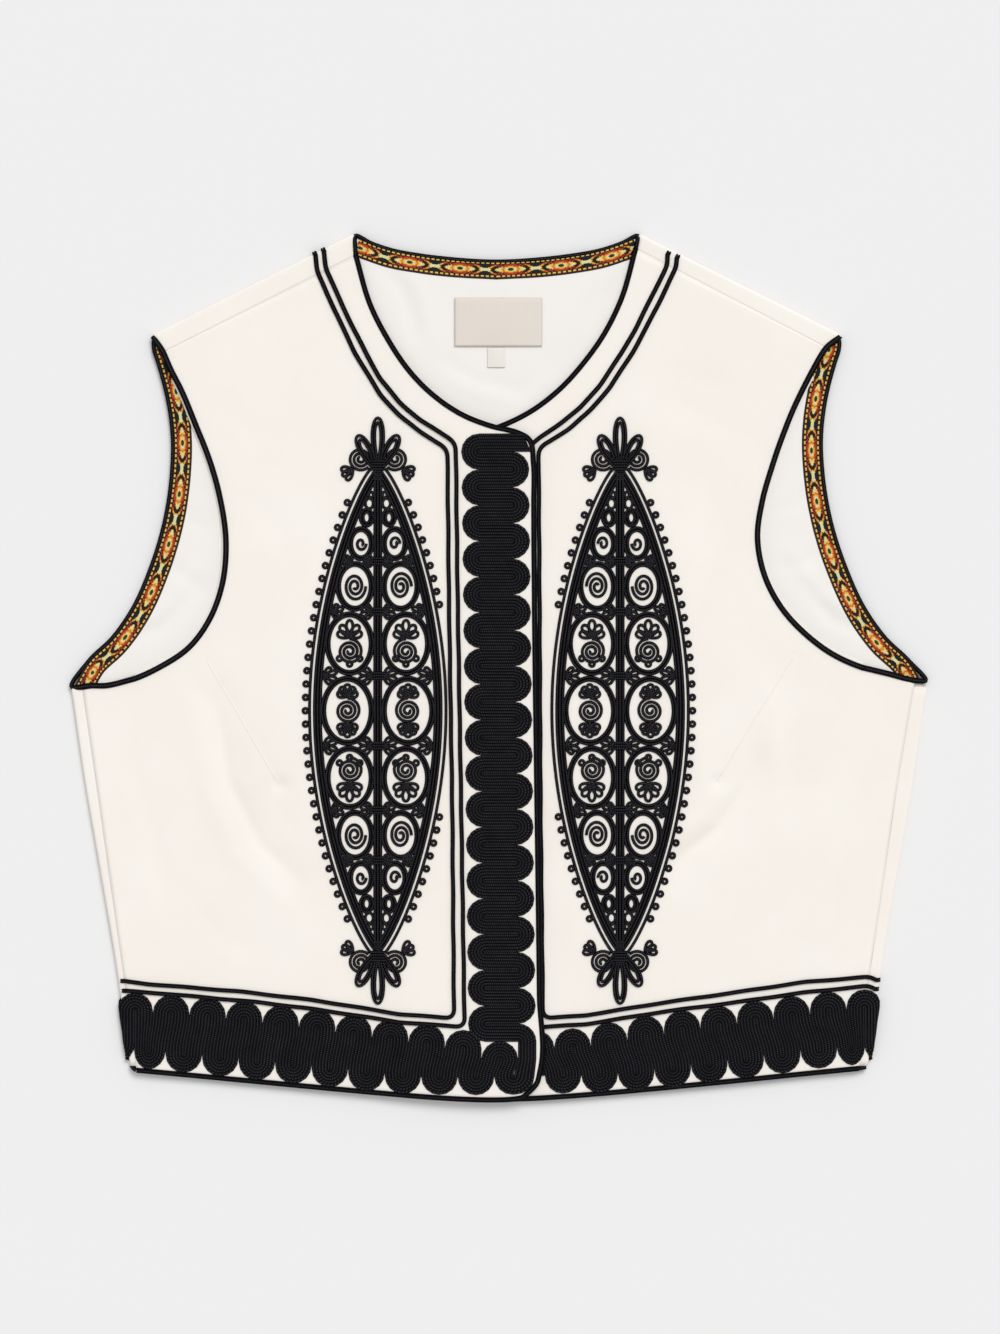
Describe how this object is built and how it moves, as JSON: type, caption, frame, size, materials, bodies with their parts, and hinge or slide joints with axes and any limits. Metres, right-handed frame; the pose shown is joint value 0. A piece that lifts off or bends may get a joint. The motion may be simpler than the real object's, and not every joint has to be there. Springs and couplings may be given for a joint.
{
  "type": "embroidered folk vest",
  "caption": "Short sleeveless folk vest in cream twill, edged and embroidered with black cord, with woven tape inside its neck and armholes, lying flat front side up.",
  "frame": {"origin": "on the surface that the vest lies on, at the middle of its outline", "axes": "+Z away from the surface, towards the vest's front side; +Y from the hem to the neck; +X towards the wearer's left"},
  "size_m": [0.4712, 0.4772, 0.0094],
  "materials": {
    "cream_twill": "cream twill, dull",
    "lining_cloth": "smooth off-white lining",
    "black_cord": "black soutache cord and rolled binding, slight sheen",
    "woven_tape": "jacquard woven tape in black, red and yellow",
    "label_cloth": "satin woven label, blank"
  },
  "bodies": {
    "root": {"back_panel": "cream_twill", "right_front_panel": "cream_twill", "left_front_panel": "cream_twill", "back_lining": "lining_cloth", "neck_tape": "woven_tape", "right_armhole_tape": "woven_tape", "left_armhole_tape": "woven_tape", "right_front_binding": "black_cord", "left_front_binding": "black_cord", "right_armhole_binding": "black_cord", "left_armhole_binding": "black_cord", "back_neck_binding": "black_cord", "back_hem_binding": "black_cord", "right_outer_cord": "black_cord", "right_inner_cord": "black_cord", "left_outer_cord": "black_cord", "left_inner_cord": "black_cord", "left_lower_cord": "black_cord", "placket_braid": "black_cord", "right_hem_braid": "black_cord", "left_hem_braid": "black_cord", "right_medallion": "black_cord", "left_medallion": "black_cord", "label": "label_cloth", "size_tab": "label_cloth"}
  },
  "joints": []
}
